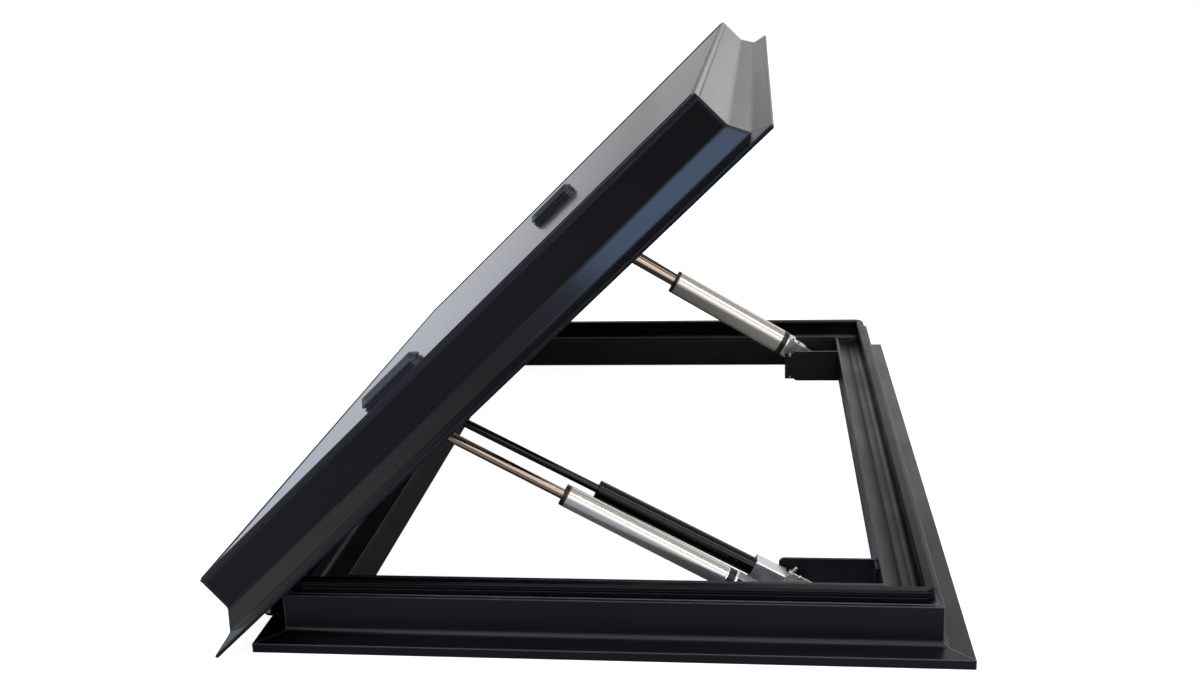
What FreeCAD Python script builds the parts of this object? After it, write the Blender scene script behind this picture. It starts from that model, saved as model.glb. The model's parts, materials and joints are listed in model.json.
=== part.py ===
import FreeCAD, Part
import math
import os

# Roof skylight on a flanged curb frame, lid standing open on its struts.
# Millimetres. X runs from the hinge side to the opening side, Y along the
# hinge, Z up. The origin is on the flange's underside, below the middle of
# the hinge axis.

os.makedirs("parts", exist_ok=True)

V = FreeCAD.Vector

# Curb frame
FRAME_LENGTH = 700.0
FRAME_WIDTH = 1000.0
HINGE_INSET = 4.0
FLANGE_T = 10.0
FLANGE_EDGE_R = 0.8
CURB_INSET = 26.5
CURB_TOP = 50.0
CURB_WALL = 3.0
CURB_FILLET = 6.0
LEDGE_GROOVE_IN = 4.0
LEDGE_GROOVE_W = 1.5
LEDGE_GROOVE_D = 1.0
RIM_INSET = 38.0
RIM_T = 4.0
RIM_TOP = 58.0
RIM_CORNER_R = 9.0
GUTTER_FLOOR = 34.0
GUTTER_LIP = 38.0
GUTTER_FLAT_END = 58.0
GUTTER_COVE_R = 7.0
GUTTER_BEND_R = 10.0
FLOOR_T = 4.0

X_MIN = -HINGE_INSET
X_MAX = FRAME_LENGTH - HINGE_INSET
Y_HALF = FRAME_WIDTH / 2.0

# Inner sleeve through the roof
SLEEVE_INSET = 75.0
SLEEVE_T = 3.0
SLEEVE_TOP = 47.0
HEM_H = 6.0
HEM_T = 1.2
HEM_R = 0.8
SLEEVE_FACE_X = X_MAX - SLEEVE_INSET - SLEEVE_T
SLEEVE_FACE_Y = Y_HALF - SLEEVE_INSET - SLEEVE_T

# Rubber seal on the rim
SEAL_OUT = 33.0
SEAL_IN = 44.6
SEAL_BASE = 50.6
SEAL_TOP = 63.0
SEAL_FIT = 0.05
SEAL_SHOULDER = 7.8
SEAL_WAIST_UP = 6.4
SEAL_WAIST = 2.4
SEAL_BEAD = 5.0
SEAL_SOFT = 1.2
SEAL_CROWN = 2.0

# Hinge
HINGE_Z = 24.0
KNUCKLE_R = 5.0
PIN_R = 2.5
PIN_PLAY = 0.05
KNUCKLES = 5
HINGE_END = 13.5
HINGE_LENGTH = FRAME_WIDTH - 2 * (CURB_INSET + HINGE_END)
KNUCKLE_GAP = 1.2
LEAF_T = 3.0
LEAF_TOP = 46.0
LEAF_SWEEP = 1.5
LID_LEAF_TOP = 84.0

# Lid, drawn closed and then turned open about the hinge
OPEN_DEG = 43.0
LID_OVER_HINGE = 33.2
LID_OVER_OPENING = 9.8
LID_OVER_END = 21.0
LID_LENGTH = FRAME_LENGTH + LID_OVER_HINGE + LID_OVER_OPENING
LID_WIDTH = FRAME_WIDTH + 2 * LID_OVER_END
LID_X0 = X_MIN - LID_OVER_HINGE
LIP_Z = 34.7
SHEET = 3.0
LIP_T = 3.8
LIP_IN = 19.0
LIP_RISE = 5.0
SKIRT_FOOT_IN = 30.0
SKIRT_FOOT_UP = 23.0
SKIRT_IN = 31.0
GLASS_BED = 57.0
GLASS_T = 5.0
GLASS_EDGE_R = 1.0
BED_IN = 60.0
RAIL_OUT_IN = 38.0
RAIL_IN_IN = 84.0
RAIL_UP = 36.0
RAIL_WALL = 2.5
SPACER_W = 10.0
PANE_UP = 41.0
PANE_T = 4.0

# Raised pads on the glass: distances of the middle from the hinge-side lip and
# the near lip, length and height; groove and bevel as shares of the height
PADS = (
    {"from_hinge": 314.0, "from_near": 64.0, "length": 80.0, "height": 13.2},
    {"from_hinge": 450.0, "from_near": 459.0, "length": 67.0, "height": 11.0},
)
PAD_WIDTH = 22.0
PAD_GROOVE_UP = 0.26
PAD_GROOVE_W = 0.12
PAD_GROOVE_D = 1.6
PAD_BEVEL = 0.44

# Lid brackets and corner pockets
BRACKET_LAP = 13.0
BRACKET_OUT = LID_WIDTH / 2.0 - RAIL_IN_IN + BRACKET_LAP
BRACKET_T = 4.0
BRACKET_SIDE = 18.0
BRACKET_EDGE = 15.0
EAR_T = 3.0
EAR_PLAY = 1.6
EAR_R = 9.0
EAR_DROP = 18.0
PLATE_Y = {"near": SLEEVE_FACE_Y - 67.0, "far": SLEEVE_FACE_Y - 77.0}
PLATE_T = 3.0
PLATE_LENGTH = {"near": 102.0, "far": 82.0}
PLATE_DROP = {"near": 7.0, "far": 0.0}
PLATE_CORNER_R = 6.0
PLATE_TAB = 18.0
FAR_TAB_W = 13.0
FAR_TAB_STEP = 3.0
FAR_TAB_BACK = 1.0

# Struts: distance aside from the short side's sleeve, distances of the base
# pivot and of the closed lid's pivot from the opening side's sleeve, height of
# the base pivot, and where the foot and the tube end along the strut
STRUTS = {
    "near_actuator": {"side": -1.0, "aside": 19.0, "before": 117.3, "lid": 374.8, "up": 20.6},
    "near_gas": {"side": -1.0, "aside": 51.0, "before": 89.8, "lid": 368.1, "up": 17.3},
    "far_actuator": {"side": 1.0, "aside": 50.0, "before": 59.0, "lid": 313.2, "up": 36.6},
    "far_gas": {"side": 1.0, "aside": 16.3, "before": 43.0, "lid": 309.0, "up": 18.8},
}
FOOT_END = {"near_actuator": 45.0, "near_gas": 45.0, "far_actuator": 36.0, "far_gas": 45.0}
TUBE_END = {"near_actuator": 225.0, "near_gas": 224.0, "far_actuator": 222.0, "far_gas": 224.0}
LID_PIVOT_Z = LIP_Z + RAIL_UP - BRACKET_T - EAR_DROP

# Actuators: radii of tube, rod and foot lug, and the foot's width and height
ACTUATORS = {
    "near_actuator": {"tube": 11.5, "rod": 5.3, "lug": 9.0, "wide": 16.0, "high": 20.0},
    "far_actuator": {"tube": 18.4, "rod": 8.0, "lug": 13.0, "wide": 22.0, "high": 32.0},
}
ACT_WALL = 1.5
ACT_ROD_IN = 22.0
ACT_CAP = 4.0
ACT_CAP_STEP = 0.3
ACT_COLLAR = 8.0
ACT_RING = 3.0
ACT_RING_STEP = 1.5
ACT_LUG_STEP = 2.0
ACT_EYE_STEP = 0.8
ACT_EYE_OVER = 2.7
ACT_NECK_OVER = 1.2

# Gas struts
GAS_R = 9.5
GAS_BORE = 8.0
GAS_ROD_R = 4.4
GAS_ROD_IN = 19.0
GAS_HEAD_T = 5.0
GAS_SOCKET = 10.0
GAS_BLOCK_W = 20.0
GAS_BLOCK_H = 22.0
GAS_EYE_W = 8.0
GAS_NECK_R = 6.0
GAS_LUG_W = 14.0
GAS_SLOT_FROM = 24.0
GAS_SLOT_LENGTH = 6.0
GAS_SLOT_W = 1.6
GAS_SLOT_D = 1.5
GAS_LUG_R = 9.0
GAS_EYE_R = 8.0
BLOCK_CHAMFER = 1.5
LUG_LAP = 1.0
EYE_NECK = 16.0
PIVOT_R = 3.0
ROD_PLAY = 0.05
PIN_HEAD_R = 5.0
PIN_HEAD_T = 2.5
PIN_STAND = 2.0
KEEPER_STAND = 3.5
KEEPER_T = 2.5
KEEPER_OUTLINE = ((-9, -9), (9, -9), (23, 4), (23, 9), (2, 20), (-4, 18), (-9, 8))
FOOT_SIZE = 26.0
FOOT_T = 3.0
FOOT_GAP = 1.0


def rounded_wire(corners):
    """Closed wire in the local YZ plane from (y, z, radius) corners."""
    count = len(corners)
    cuts = []
    for i in range(count):
        y, z, radius = corners[i]
        point = V(0, y, z)
        if radius == 0:
            cuts.append((point, None, point))
            continue
        before = V(0, corners[i - 1][0], corners[i - 1][1]) - point
        after = V(0, corners[(i + 1) % count][0], corners[(i + 1) % count][1]) - point
        before.normalize()
        after.normalize()
        half = before.getAngle(after) / 2.0
        run = radius / math.tan(half)
        middle = before + after
        middle.normalize()
        centre = point + middle * (radius / math.sin(half))
        cuts.append((point + before * run, centre - middle * radius, point + after * run))
    edges = []
    for i in range(count):
        start, arc_mid, end = cuts[i]
        if arc_mid is not None:
            edges.append(Part.Arc(start, arc_mid, end).toShape())
        following = cuts[(i + 1) % count][0]
        if (following - end).Length > 1e-6:
            edges.append(Part.LineSegment(end, following).toShape())
    return Part.Wire(edges)


def bar(corners, length):
    """Straight bar along +X with the given YZ section."""
    return Part.Face(rounded_wire(corners)).extrude(V(length, 0, 0))


def box(x0, x1, y0, y1, z0, z1):
    """Box between two corners."""
    return Part.makeBox(x1 - x0, y1 - y0, z1 - z0, V(x0, y0, z0))


def square(points):
    """Corners of a section without any rounding."""
    return [(y, z, 0.0) for y, z in points]


def mitred(section_bars, holes, length, depth, low, high):
    """Cut both ends of a side bar at 45 degrees, outer edge at local Y 0."""
    body = section_bars
    for hole in holes:
        body = body.cut(hole)
    outline = [V(0, 0, low), V(length, 0, low), V(length - depth, depth, low), V(depth, depth, low), V(0, 0, low)]
    wedge = Part.Face(Part.makePolygon(outline)).extrude(V(0, 0, high - low))
    return body.common(wedge)


def four_sides(corners, hole_sections, length, width, depth, low, high, x_min):
    """The same mitred section on all four sides of a rectangle."""
    sides = {}
    for side in ("near", "far", "hinge_side", "opening_side"):
        run = length if side in ("near", "far") else width
        holes = [bar(section, run) for section in hole_sections]
        body = mitred(bar(corners, run), holes, run, depth, low, high)
        if side == "near":
            body.translate(V(x_min, -width / 2.0, 0))
        elif side == "far":
            body.rotate(V(0, 0, 0), V(0, 0, 1), 180)
            body.translate(V(x_min + length, width / 2.0, 0))
        elif side == "hinge_side":
            body.rotate(V(0, 0, 0), V(0, 0, 1), -90)
            body.translate(V(x_min, width / 2.0, 0))
        else:
            body.rotate(V(0, 0, 0), V(0, 0, 1), 90)
            body.translate(V(x_min + length, -width / 2.0, 0))
        sides[side] = body
    return sides


def rounded_slab(inset, radius, z0, z1):
    """Slab inside the frame's outline, inset all round, with round corners."""
    slab = box(X_MIN + inset, X_MAX - inset, -Y_HALF + inset, Y_HALF - inset, z0, z1)
    upright = [edge for edge in slab.Edges if abs(edge.BoundBox.ZLength - (z1 - z0)) < 1e-6]
    return slab.makeFillet(radius, upright)


def curb_frame():
    """Flange, curb wall, ledge, upright rim and gutter as one profile."""
    groove = CURB_INSET + LEDGE_GROOVE_IN
    rim_in = RIM_INSET + RIM_T
    corners = [
        (0.0, 0.0, FLANGE_EDGE_R),
        (SLEEVE_INSET, 0.0, 0.0),
        (SLEEVE_INSET, GUTTER_LIP, 0.0),
        (GUTTER_FLAT_END, GUTTER_FLOOR, GUTTER_BEND_R),
        (rim_in, GUTTER_FLOOR, GUTTER_COVE_R),
        (rim_in, RIM_TOP, 0.0),
        (RIM_INSET, RIM_TOP, 0.0),
        (RIM_INSET, CURB_TOP, 0.0),
        (groove + LEDGE_GROOVE_W, CURB_TOP, 0.0),
        (groove + LEDGE_GROOVE_W, CURB_TOP - LEDGE_GROOVE_D, 0.0),
        (groove, CURB_TOP - LEDGE_GROOVE_D, 0.0),
        (groove, CURB_TOP, 0.0),
        (CURB_INSET, CURB_TOP, FLANGE_EDGE_R),
        (CURB_INSET, FLANGE_T, CURB_FILLET),
        (0.0, FLANGE_T, FLANGE_EDGE_R),
    ]
    inner_wall = rim_in - CURB_WALL
    chamber = square([
        (CURB_INSET + CURB_WALL, FLOOR_T),
        (SLEEVE_INSET - CURB_WALL, FLOOR_T),
        (SLEEVE_INSET - CURB_WALL, GUTTER_FLOOR - FLOOR_T),
        (inner_wall, GUTTER_FLOOR - FLOOR_T),
        (inner_wall, CURB_TOP - CURB_WALL),
        (CURB_INSET + CURB_WALL, CURB_TOP - CURB_WALL),
    ])
    sides = four_sides(corners, [chamber], FRAME_LENGTH, FRAME_WIDTH, SLEEVE_INSET, -1, RIM_TOP + 1, X_MIN)
    around = box(X_MIN - 1, X_MAX + 1, -Y_HALF - 1, Y_HALF + 1, CURB_TOP, RIM_TOP + 1)
    corner_cut = around.cut(rounded_slab(RIM_INSET, RIM_CORNER_R, CURB_TOP - 1, RIM_TOP + 2))
    for side in sides:
        sides[side] = sides[side].cut(corner_cut)
    return sides


def sleeves():
    """Thin inner lining with a folded hem along its top edge."""
    inner = SLEEVE_INSET + SLEEVE_T
    corners = [
        (SLEEVE_INSET, 0.0, 0.0),
        (inner, 0.0, 0.0),
        (inner, SLEEVE_TOP - HEM_H, 0.0),
        (inner + HEM_T, SLEEVE_TOP - HEM_H, 0.0),
        (inner + HEM_T, SLEEVE_TOP, HEM_R),
        (SLEEVE_INSET, SLEEVE_TOP, HEM_R),
    ]
    return four_sides(corners, [], FRAME_LENGTH, FRAME_WIDTH, inner + HEM_T, -1, SLEEVE_TOP + 1, X_MIN)


def rim_seal():
    """Two-bead rubber clip swept round the rim, with round corners."""
    out_face = RIM_INSET - SEAL_FIT
    in_face = RIM_INSET + RIM_T + SEAL_FIT
    top_face = RIM_TOP + SEAL_FIT
    shoulder = SEAL_BASE + SEAL_SHOULDER
    corners = square([
        (out_face, SEAL_BASE),
        (SEAL_OUT + SEAL_SOFT, SEAL_BASE),
        (SEAL_OUT, SEAL_BASE + SEAL_SOFT),
        (SEAL_OUT, SEAL_BASE + SEAL_BEAD),
        (SEAL_OUT + SEAL_WAIST, SEAL_BASE + SEAL_WAIST_UP),
        (SEAL_OUT, shoulder),
        (SEAL_OUT, SEAL_TOP - SEAL_CROWN),
        (SEAL_OUT + SEAL_CROWN, SEAL_TOP),
        (SEAL_IN - SEAL_CROWN, SEAL_TOP),
        (SEAL_IN, SEAL_TOP - SEAL_CROWN),
        (SEAL_IN, SEAL_BASE + SEAL_WAIST),
        (in_face, SEAL_BASE + SEAL_WAIST),
        (in_face, top_face),
        (out_face, top_face),
    ])
    reach = RIM_INSET + RIM_CORNER_R
    straight_x = FRAME_LENGTH - 2 * reach
    straight_y = FRAME_WIDTH - 2 * reach
    section = Part.Face(rounded_wire(corners))
    near = section.extrude(V(straight_x, 0, 0))
    near.translate(V(X_MIN + reach, -Y_HALF, 0))
    side = section.extrude(V(straight_y, 0, 0))
    side.rotate(V(0, 0, 0), V(0, 0, 1), 90)
    side.translate(V(X_MAX, -Y_HALF + reach, 0))
    corner_face = section.copy()
    corner_face.translate(V(X_MAX - reach, -Y_HALF, 0))
    corner = corner_face.revolve(V(X_MAX - reach, -Y_HALF + reach, 0), V(0, 0, 1), 90)
    centre = V((X_MIN + X_MAX) / 2.0, 0, 0)
    ring = near.fuse([side, corner])
    turned = near.copy()
    turned.rotate(centre, V(0, 0, 1), 180)
    far_side = side.copy()
    far_side.rotate(centre, V(0, 0, 1), 180)
    other = corner.copy()
    other.rotate(centre, V(0, 0, 1), 180)
    mirrored = corner.mirror(centre, V(1, 0, 0))
    mirrored_far = corner.mirror(centre, V(0, 1, 0))
    return ring.fuse([turned, far_side, other, mirrored, mirrored_far]).removeSplitter()


def knuckle_spans():
    """Y range of each hinge knuckle."""
    pitch = HINGE_LENGTH / KNUCKLES
    spans = []
    for i in range(KNUCKLES):
        start = -HINGE_LENGTH / 2.0 + i * pitch
        spans.append((start + KNUCKLE_GAP / 2.0, start + pitch - KNUCKLE_GAP / 2.0))
    return spans


def round_bar(radius, x, z, y0, y1):
    """Cylinder along Y."""
    return Part.makeCylinder(radius, y1 - y0, V(x, y0, z), V(0, 1, 0))


def base_hinge_leaf():
    """Leaf on the curb wall with every second knuckle."""
    half = HINGE_LENGTH / 2.0
    wall = X_MIN + CURB_INSET
    low = HINGE_Z - KNUCKLE_R
    body = box(wall - LEAF_T, wall, -half, half, low, LEAF_TOP)
    body = body.fuse(box(KNUCKLE_R + LEAF_SWEEP, wall, -half, half, low, low + LEAF_T))
    for y0, y1 in knuckle_spans()[::2]:
        body = body.fuse(box(0, wall, y0, y1, low, low + LEAF_T))
        body = body.fuse(round_bar(KNUCKLE_R, 0, HINGE_Z, y0, y1))
    return body.cut(round_bar(PIN_R, 0, HINGE_Z, -half - 1, half + 1)).removeSplitter()


def lid_hinge_leaf():
    """Leaf inside the lid's skirt with the knuckles between those of the base."""
    half = HINGE_LENGTH / 2.0
    face = LID_X0 + SKIRT_IN + SHEET
    body = box(face, face + LEAF_T, -half, half, HINGE_Z + KNUCKLE_R + LEAF_SWEEP, LID_LEAF_TOP)
    for y0, y1 in knuckle_spans()[1::2]:
        body = body.fuse(box(face, face + LEAF_T, y0, y1, HINGE_Z, LID_LEAF_TOP))
        body = body.fuse(round_bar(KNUCKLE_R, 0, HINGE_Z, y0, y1))
    return body.cut(round_bar(PIN_R + PIN_PLAY, 0, HINGE_Z, -half - 1, half + 1)).removeSplitter()


def lid_skirts():
    """Folded rim of the lid: glass bed, upright skirt, flare and lip."""
    corners = [
        (0.0, 0.0, 1.6),
        (LIP_IN, LIP_RISE, 3.0),
        (SKIRT_FOOT_IN, SKIRT_FOOT_UP, 9.0),
        (SKIRT_IN, GLASS_BED, 0.8),
        (BED_IN, GLASS_BED, 0.0),
        (BED_IN, GLASS_BED - SHEET, 0.0),
        (SKIRT_IN + SHEET, GLASS_BED - SHEET, 1.5),
        (SKIRT_FOOT_IN + SHEET, SKIRT_FOOT_UP - 0.8, 6.0),
        (LIP_IN + SHEET, LIP_RISE - 3.2, 2.0),
        (1.0, -LIP_T, 1.6),
    ]
    return four_sides(corners, [], LID_LENGTH, LID_WIDTH, BED_IN, -LIP_T - 1, GLASS_BED + 1, LID_X0)


def lid_rails():
    """Hollow inner frame under the glass bed."""
    outer = square([
        (RAIL_OUT_IN, RAIL_UP),
        (RAIL_IN_IN, RAIL_UP),
        (RAIL_IN_IN, GLASS_BED - SHEET),
        (RAIL_OUT_IN, GLASS_BED - SHEET),
    ])
    hollow = square([
        (RAIL_OUT_IN + RAIL_WALL, RAIL_UP + RAIL_WALL),
        (RAIL_IN_IN - RAIL_WALL, RAIL_UP + RAIL_WALL),
        (RAIL_IN_IN - RAIL_WALL, GLASS_BED - SHEET - RAIL_WALL),
        (RAIL_OUT_IN + RAIL_WALL, GLASS_BED - SHEET - RAIL_WALL),
    ])
    return four_sides(outer, [hollow], LID_LENGTH, LID_WIDTH, RAIL_IN_IN, RAIL_UP - 1, GLASS_BED, LID_X0)


def lid_slab(inset, low, high):
    """Rectangular slab of the lid, inset from the lip all round."""
    return box(
        LID_X0 + inset,
        LID_X0 + LID_LENGTH - inset,
        -LID_WIDTH / 2.0 + inset,
        LID_WIDTH / 2.0 - inset,
        low,
        high,
    )


def top_glass():
    """Outer pane with ground edges, flush with the skirts."""
    pane = lid_slab(SKIRT_IN, GLASS_BED, GLASS_BED + GLASS_T)
    top = [edge for edge in pane.Edges if edge.BoundBox.ZMin > GLASS_BED + GLASS_T - 1e-6]
    return pane.makeFillet(GLASS_EDGE_R, top)


def pad(place):
    """Long raised pad with round ends, a deep bevel round its top and a side groove."""
    height = place["height"]

    def slab(shrink, low, high):
        half = PAD_WIDTH / 2.0 - shrink
        run = place["length"] - PAD_WIDTH
        x = LID_X0 + place["from_hinge"]
        y = place["from_near"] - LID_WIDTH / 2.0
        middle = box(x - run / 2.0, x + run / 2.0, y - half, y + half, low, high)
        ends = [Part.makeCylinder(half, high - low, V(x + s * run / 2.0, y, low)) for s in (-1, 1)]
        return middle.fuse(ends).removeSplitter()

    floor = GLASS_BED + GLASS_T
    body = slab(0.0, floor, floor + height)
    rim = [edge for edge in body.Edges if edge.BoundBox.ZMin > floor + height - 1e-6]
    body = body.makeChamfer(PAD_BEVEL * height, rim)
    low = floor + PAD_GROOVE_UP * height
    groove = slab(-1.0, low, low + PAD_GROOVE_W * height)
    groove = groove.cut(slab(PAD_GROOVE_D, floor, floor + height))
    return body.cut(groove)


def lid_bracket(struts, widths, side):
    """Plate under the lid rail with two open-ended pairs of ears."""
    outer = side * BRACKET_OUT
    inner = side * (min(abs(strut["y"]) for strut in struts) - BRACKET_EDGE)
    left = min(strut["lid"][0] for strut in struts) - BRACKET_SIDE
    right = max(strut["lid"][0] for strut in struts) + BRACKET_SIDE
    top = LIP_Z + RAIL_UP
    body = box(left, right, min(outer, inner), max(outer, inner), top - BRACKET_T, top)
    for strut, width in zip(struts, widths):
        x, z = strut["lid"]
        for s in (-1, 1):
            face = strut["y"] + s * (width / 2.0 + EAR_PLAY)
            y0 = min(face, face + s * EAR_T)
            y1 = max(face, face + s * EAR_T)
            ear = round_bar(EAR_R, x, z, y0, y1).fuse(box(x - EAR_R, x + EAR_R, y0, y1, z, top - BRACKET_T / 2.0))
            body = body.fuse(ear)
    return body.removeSplitter()


def turn_point(x, z, degrees):
    """Turn a point about the hinge axis; positive opens the lid."""
    angle = math.radians(degrees)
    dz = z - HINGE_Z
    return (x * math.cos(angle) - dz * math.sin(angle), HINGE_Z + x * math.sin(angle) + dz * math.cos(angle))


def strut_at(name):
    """Y, base pivot, closed lid pivot, foot end and tube end of a strut."""
    place = STRUTS[name]
    return {
        "y": place["side"] * (SLEEVE_FACE_Y - place["aside"]),
        "base": (SLEEVE_FACE_X - place["before"], place["up"]),
        "lid": (SLEEVE_FACE_X - place["lid"], LID_PIVOT_Z),
        "foot": FOOT_END[name],
        "head": TUBE_END[name],
    }


def strut_frame(strut):
    """Slope in degrees and pin distance of a strut with the lid open."""
    lid_x, lid_z = turn_point(strut["lid"][0], strut["lid"][1], OPEN_DEG)
    dx = lid_x - strut["base"][0]
    dz = lid_z - strut["base"][1]
    return math.degrees(math.atan2(dz, dx)), math.hypot(dx, dz)


def place_strut(shape, strut):
    """Move a shape drawn along +X from the base pivot into place."""
    slope, span = strut_frame(strut)
    shape.rotate(V(0, 0, 0), V(0, 1, 0), -slope)
    shape.translate(V(strut["base"][0], strut["y"], strut["base"][1]))
    return shape


def along(radius, s0, s1):
    """Cylinder on the strut's axis between two distances."""
    return Part.makeCylinder(radius, s1 - s0, V(s0, 0, 0), V(1, 0, 0))


def foot_block(width, height, end, lug_width, lug_r):
    """Machined foot: rectangular body and a round lug with a pin hole."""
    start = height / 2.0
    body = box(start, end, -width / 2.0, width / 2.0, -height / 2.0, height / 2.0)
    long_edges = [edge for edge in body.Edges if edge.BoundBox.XLength > (end - start) - 1e-6]
    body = body.makeChamfer(BLOCK_CHAMFER, long_edges)
    lug = round_bar(lug_r, 0, 0, -lug_width / 2.0, lug_width / 2.0)
    lug = lug.fuse(box(0, start + LUG_LAP, -lug_width / 2.0, lug_width / 2.0, -lug_r, lug_r))
    body = body.fuse(lug)
    return body.cut(round_bar(PIVOT_R + ROD_PLAY, 0, 0, -width, width)).removeSplitter()


def rod_eye(span, width, radius, neck_half):
    """Rod end with its pin stub, a solid disc on a flat neck between the bracket's ears."""
    disc = round_bar(radius, span, 0, -width / 2.0, width / 2.0)
    neck = box(span - EYE_NECK, span, -width / 2.0, width / 2.0, -neck_half, neck_half)
    return disc.fuse(neck).removeSplitter()


def eye_width(name):
    """Width across the flats of a strut's rod eye."""
    if name in ACTUATORS:
        return 2 * (ACTUATORS[name]["rod"] - ACT_EYE_STEP)
    return GAS_EYE_W


def actuator(name, strut):
    """Electric linear actuator with its lid fully open."""
    slope, span = strut_frame(strut)
    foot = strut["foot"]
    head = strut["head"]
    size = ACTUATORS[name]
    tube_r = size["tube"]
    rod_r = size["rod"]
    tube = along(tube_r, foot, head).cut(along(tube_r - ACT_WALL, foot - 1, head + 1))
    cap = along(tube_r - ACT_CAP_STEP, head, head + ACT_CAP)
    cap = cap.cut(along(rod_r + ROD_PLAY, head - 1, head + ACT_CAP + 1))
    collar_start = foot - ACT_COLLAR
    ring_start = collar_start - ACT_RING
    collar = along(tube_r, collar_start, foot)
    caps = Part.makeCompound([cap, collar])
    block = foot_block(size["wide"], size["high"], ring_start, size["wide"] - 2 * ACT_LUG_STEP, size["lug"])
    block = block.fuse(along(tube_r - ACT_RING_STEP, ring_start, collar_start)).removeSplitter()
    rod = along(rod_r, head - ACT_ROD_IN, span - EYE_NECK)
    eye = rod_eye(span, eye_width(name), rod_r + ACT_EYE_OVER, rod_r + ACT_NECK_OVER)
    return {"tube": tube, "caps": caps, "foot": block, "rod": rod, "eye": eye}


def gas_strut(strut):
    """Gas strut with its rod fully out."""
    slope, span = strut_frame(strut)
    foot = strut["foot"]
    head = strut["head"]
    start = foot - GAS_SOCKET
    tube = along(GAS_R, start, head).cut(along(GAS_BORE, start - 1, head - GAS_HEAD_T))
    tube = tube.cut(along(GAS_ROD_R + ROD_PLAY, start, head + 1))
    block = foot_block(GAS_BLOCK_W, GAS_BLOCK_H, foot, GAS_LUG_W, GAS_LUG_R)
    block = block.cut(along(GAS_R, start, foot + 1))
    half_slot = GAS_SLOT_W / 2.0
    slot_end = GAS_SLOT_FROM + GAS_SLOT_LENGTH
    top = GAS_BLOCK_H / 2.0
    block = block.cut(box(GAS_SLOT_FROM, slot_end, -half_slot, half_slot, top - GAS_SLOT_D, top + 1))
    rod = along(GAS_ROD_R, head - GAS_ROD_IN, span - EYE_NECK)
    eye = rod_eye(span, GAS_EYE_W, GAS_EYE_R, GAS_NECK_R)
    return {"tube": tube, "foot": block, "rod": rod, "eye": eye}


def pocket_plate(side):
    """Upright plate screwed to the opening-side sleeve, closing a corner pocket."""
    sign = -1.0 if side == "near" else 1.0
    right = SLEEVE_FACE_X - HEM_T
    y_in = sign * (PLATE_Y[side] - PLATE_T)
    y_out = sign * PLATE_Y[side]
    left = SLEEVE_FACE_X - PLATE_LENGTH[side]
    top = SLEEVE_TOP - PLATE_DROP[side]
    if side == "near":
        body = box(left, right, min(y_in, y_out), max(y_in, y_out), 0, top)
        corner = [e for e in body.Edges if e.BoundBox.XMax < left + 1e-6 and e.BoundBox.ZMin > top - 1e-6]
        body = body.makeFillet(PLATE_CORNER_R, corner)
    else:
        fold = left + FAR_TAB_W
        body = box(fold, right, min(y_in, y_out), max(y_in, y_out), 0, top)
        corner = [e for e in body.Edges if e.BoundBox.XMax < fold + 1e-6 and e.BoundBox.ZMax < 1e-6]
        body = body.makeFillet(PLATE_CORNER_R, corner)
        back = y_in + FAR_TAB_BACK
        tab = box(left, fold + PLATE_CORNER_R, back, y_out, FAR_TAB_STEP, SLEEVE_TOP - FAR_TAB_STEP)
        body = body.fuse(tab)
    bent = sign * (PLATE_Y[side] + PLATE_TAB)
    tab_top = min(SLEEVE_TOP - HEM_H, top) - FOOT_GAP
    flange_x = right + HEM_T
    bend = box(right - PLATE_T, flange_x, min(y_out, bent), max(y_out, bent), 0, tab_top)
    stem = box(right - PLATE_T, flange_x, min(y_in, y_out), max(y_in, y_out), 0, tab_top)
    return body.fuse([bend, stem]).removeSplitter()


def pivot_pin(strut, wall_y, reach):
    """Foot plate on a wall with a headed pin through a strut's foot."""
    x, z = strut["base"]
    sign = 1.0 if strut["y"] > wall_y else -1.0
    half = FOOT_SIZE / 2.0
    low = max(z - half, FOOT_GAP)
    high = min(z + half, SLEEVE_TOP - HEM_H - FOOT_GAP)
    face = wall_y + sign * FOOT_T
    plate = box(x - half, x + half, min(wall_y, face), max(wall_y, face), low, high)
    tip = strut["y"] + sign * reach
    shaft = round_bar(PIVOT_R, x, z, min(face, tip), max(face, tip))
    head_end = tip + sign * PIN_HEAD_T
    head = round_bar(PIN_HEAD_R, x, z, min(tip, head_end), max(tip, head_end))
    return plate.fuse([shaft, head]).removeSplitter()


def keeper(strut):
    """Small stainless keeper plate on the pin of the near gas strut."""
    x, z = strut["base"]
    y = strut["y"] - GAS_BLOCK_W / 2.0 - KEEPER_STAND
    points = [V(x + dx, y, z + dz) for dx, dz in KEEPER_OUTLINE]
    points.append(points[0])
    return Part.Face(Part.makePolygon(points)).extrude(V(0, KEEPER_T, 0))


def export(name, shape):
    """Write one node."""
    if len(shape.Solids) == 1:
        shape = shape.Solids[0]
    shape.exportStep("parts/" + name + ".step")


def open_lid(shape):
    """Turn a closed lid piece, drawn from the lip plane, into the open pose."""
    shape.rotate(V(0, 0, HINGE_Z), V(0, 1, 0), -OPEN_DEG)
    return shape


def lid_local(shape):
    """Raise a piece drawn from the lip plane to the closed lid, then open it."""
    shape.translate(V(0, 0, LIP_Z))
    return open_lid(shape)


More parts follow.
